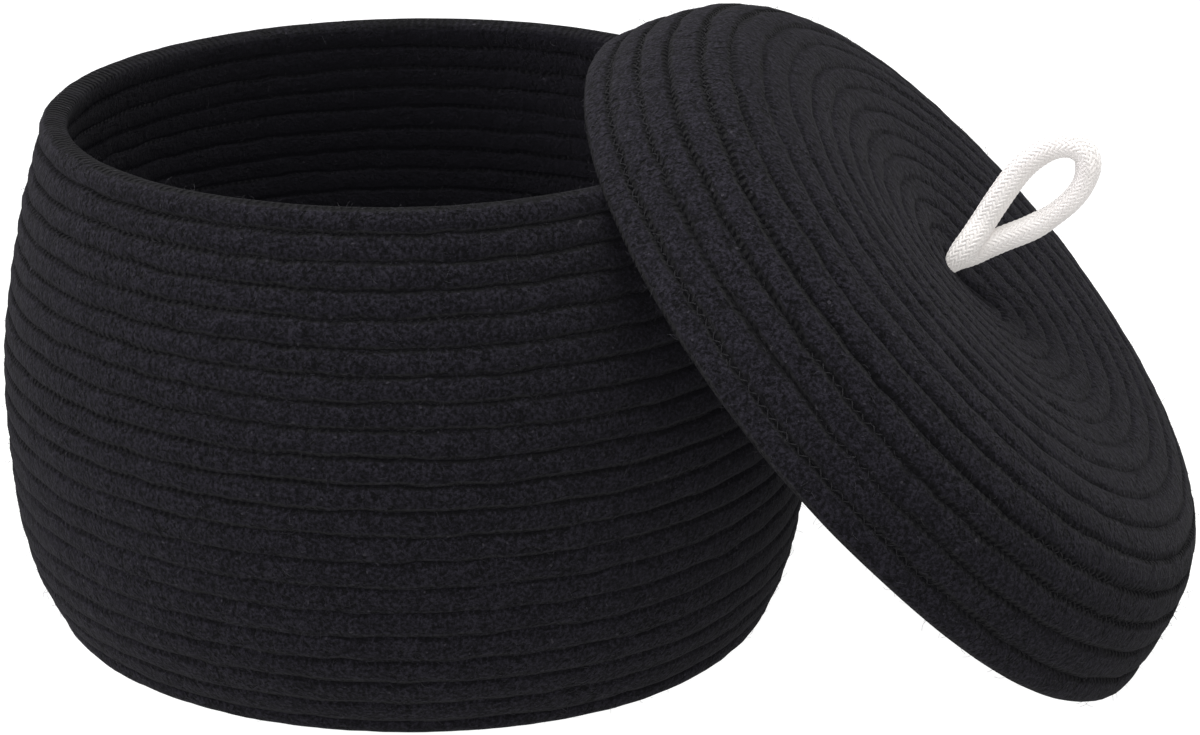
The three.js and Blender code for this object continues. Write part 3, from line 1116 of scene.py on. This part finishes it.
def make_floor():
    """A level floor that is plain white to the camera and glows less on the object."""
    mesh = bpy.data.meshes.new("floor")
    half = FLOOR_SIZE / 2
    corners = [(-half, -half, 0), (half, -half, 0), (half, half, 0), (-half, half, 0)]
    mesh.from_pydata(corners, [], [(0, 1, 2, 3)])
    floor = bpy.data.objects.new("floor", mesh)
    bpy.context.scene.collection.objects.link(floor)
    material, tree, shader = new_material("pale_floor")
    shader.inputs["Base Color"].default_value = (FLOOR_GREY, FLOOR_GREY, FLOOR_GREY, 1.0)
    shader.inputs["Roughness"].default_value = 0.9
    shader.inputs["Emission Color"].default_value = (1.0, 1.0, 1.0, 1.0)
    seen = place(tree, "ShaderNodeLightPath").outputs["Is Camera Ray"]
    glow = add(tree, times(tree, seen, 1 - FLOOR_GLOW), FLOOR_GLOW)
    wire(tree, shader.inputs["Emission Strength"], glow)
    mesh.materials.append(material)


def add_light(name, location, target, size, power, colour):
    """A round area light that faces its target."""
    data = bpy.data.lights.new(name, "AREA")
    data.shape = "DISK"
    data.size = size
    data.energy = power
    data.color = colour
    light = bpy.data.objects.new(name, data)
    light.location = location
    light.rotation_euler = (Vector(target) - Vector(location)).to_track_quat("-Z", "Y").to_euler()
    bpy.context.scene.collection.objects.link(light)


def make_camera():
    """The photo's camera, which looks along forward with its roll about that line."""
    level = np.array([math.cos(CAMERA_AZIMUTH), math.sin(CAMERA_AZIMUTH), 0.0])
    forward = level * math.cos(CAMERA_PITCH) - UP * math.sin(CAMERA_PITCH)
    flat_right = unit(np.cross(forward, UP))
    flat_up = np.cross(flat_right, forward)
    right = math.cos(CAMERA_ROLL) * flat_right + math.sin(CAMERA_ROLL) * flat_up
    up = math.cos(CAMERA_ROLL) * flat_up - math.sin(CAMERA_ROLL) * flat_right
    data = bpy.data.cameras.new("camera")
    data.sensor_width = SENSOR_WIDTH
    data.lens = SENSOR_WIDTH * FOCAL_PIXELS / PICTURE_PIXELS
    camera = bpy.data.objects.new("camera", data)
    camera.matrix_world = Matrix(np.column_stack([right, up, -forward]).tolist()).to_4x4()
    camera.location = CAMERA_PLACE
    bpy.context.scene.collection.objects.link(camera)
    bpy.context.scene.camera = camera


def make_room():
    """An even white room that is dimmer towards +X."""
    world = bpy.data.worlds.new("white_room")
    world.use_nodes = True
    tree = world.node_tree
    background = tree.nodes["Background"]
    wire(tree, background.inputs["Color"], (1.0, 1.0, 1.0, 1.0))
    towards = place(tree, "ShaderNodeTexCoord").outputs["Generated"]
    rightward = place(tree, "ShaderNodeSeparateXYZ", Vector=towards).outputs["X"]
    dimming = times(tree, step(tree, rightward, -0.2, 0.9), -ROOM_DIMMING)
    wire(tree, background.inputs["Strength"], add(tree, dimming, ROOM_STRENGTH))
    bpy.context.scene.world = world


make_floor()
make_camera()
make_room()
bpy.context.scene.view_settings.view_transform = "Standard"
add_light("left_softbox", (-1.5, -0.5, 1.2), (0.0, 0.0, 0.1), size=1.2, power=26, colour=(0.94, 0.91, 1.0))
add_light("top_softbox", (0.3, -0.15, 1.9), (0.1, 0.0, 0.1), size=1.4, power=45, colour=(1.0, 1.0, 1.0))
add_light("right_fill", (0.9, -1.3, 0.08), (0.25, 0.0, 0.05), size=0.8, power=5, colour=(1.0, 0.99, 1.0))
add_light("front_fill", (-0.5, -1.8, 0.2), (0.05, 0.0, 0.1), size=1.4, power=13, colour=(1.0, 0.98, 1.0))
